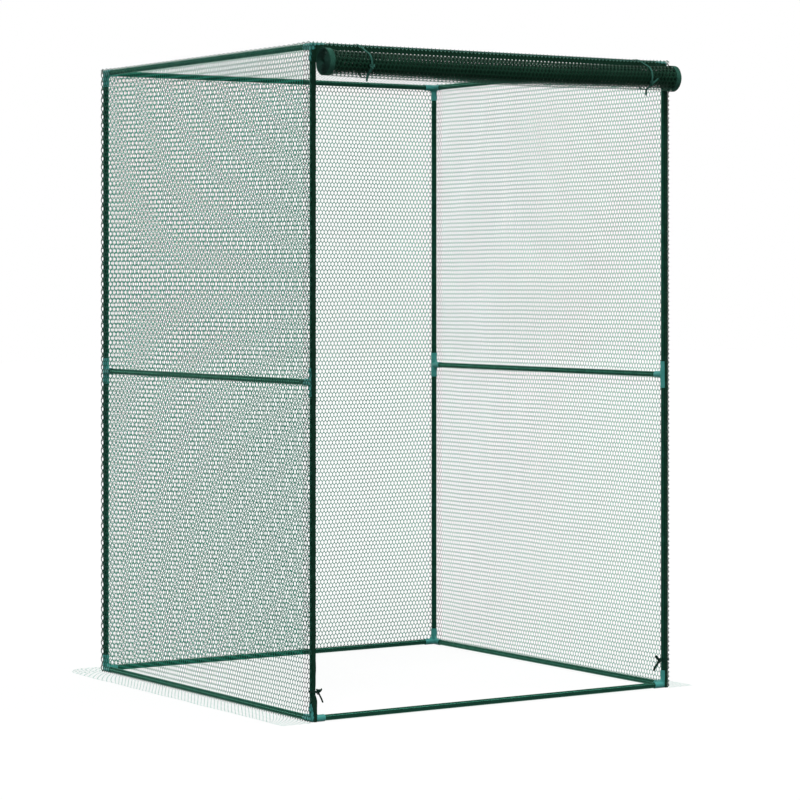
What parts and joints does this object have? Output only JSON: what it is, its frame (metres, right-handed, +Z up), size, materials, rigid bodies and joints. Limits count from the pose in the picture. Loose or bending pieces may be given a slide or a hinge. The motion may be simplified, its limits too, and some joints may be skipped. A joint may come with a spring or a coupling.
{
  "type": "crop cage",
  "caption": "Upright walk-in crop cage: green tube frame in moulded corner connectors, net cover with a ground skirt, and a net door rolled up above an open doorway.",
  "frame": {"origin": "on the ground, at the middle of the whole outline, skirt and rolled door included", "axes": "+Z up; -Y out of the doorway; +X to the right of someone facing the doorway from outside"},
  "size_m": [1.3762, 1.3698, 1.7994],
  "materials": {
    "coated_tube": "dark green plastic-coated steel tube, satin",
    "connector_plastic": "teal moulded plastic, satin",
    "net_plastic": "dark green plastic mesh",
    "hem_tape": "dark green woven edge binding",
    "door_tape": "green woven edge binding",
    "tie_tape": "dark green flat tape"
  },
  "bodies": {
    "frame": {"post_front_left_lower": "coated_tube", "post_front_left_upper": "coated_tube", "post_front_right_lower": "coated_tube", "post_front_right_upper": "coated_tube", "post_back_left_lower": "coated_tube", "post_back_left_upper": "coated_tube", "post_back_right_lower": "coated_tube", "post_back_right_upper": "coated_tube", "bottom_rail_front": "coated_tube", "bottom_rail_back": "coated_tube", "bottom_rail_left": "coated_tube", "bottom_rail_right": "coated_tube", "top_rail_front": "coated_tube", "top_rail_back": "coated_tube", "top_rail_left": "coated_tube", "top_rail_right": "coated_tube", "mid_rail_left": "coated_tube", "mid_rail_right": "coated_tube", "corner_bottom_front_left": "connector_plastic", "corner_bottom_front_right": "connector_plastic", "corner_bottom_back_left": "connector_plastic", "corner_bottom_back_right": "connector_plastic", "corner_top_front_left": "connector_plastic", "corner_top_front_right": "connector_plastic", "corner_top_back_left": "connector_plastic", "corner_top_back_right": "connector_plastic", "tee_front_left": "connector_plastic", "tee_front_right": "connector_plastic", "tee_back_left": "connector_plastic", "tee_back_right": "connector_plastic", "left_net": "net_plastic", "right_net": "net_plastic", "back_net": "net_plastic", "roof_net": "net_plastic", "skirt_left": "net_plastic", "skirt_right": "net_plastic", "skirt_back": "net_plastic", "front_header_hem": "hem_tape", "post_hem_left": "hem_tape", "post_hem_right": "hem_tape", "roll_strap_left": "tie_tape", "roll_strap_right": "tie_tape", "post_tie_left": "tie_tape", "post_tie_right": "tie_tape"},
    "door_lead": {"door_lead": "net_plastic"},
    "door_roll": {"door_roll": "net_plastic", "door_tape_left": "door_tape", "door_tape_right": "door_tape"}
  },
  "joints": [
    {"name": "door_drop", "type": "slide", "parent": "frame", "child": "door_lead", "axis": [0, 0, -1], "range_m": [0, 1.6], "deforming": ["door_lead", "roll_strap_left", "roll_strap_right"]},
    {"name": "door_unroll", "type": "hinge", "parent": "door_lead", "child": "door_roll", "pos_m": [0, -0.64235, 1.744], "axis": [1, 0, 0], "range_deg": [0, 2450]}
  ],
  "couplings": [
    {"joint": "door_unroll", "follows": "door_drop", "rad_per_m": 26.667}
  ]
}
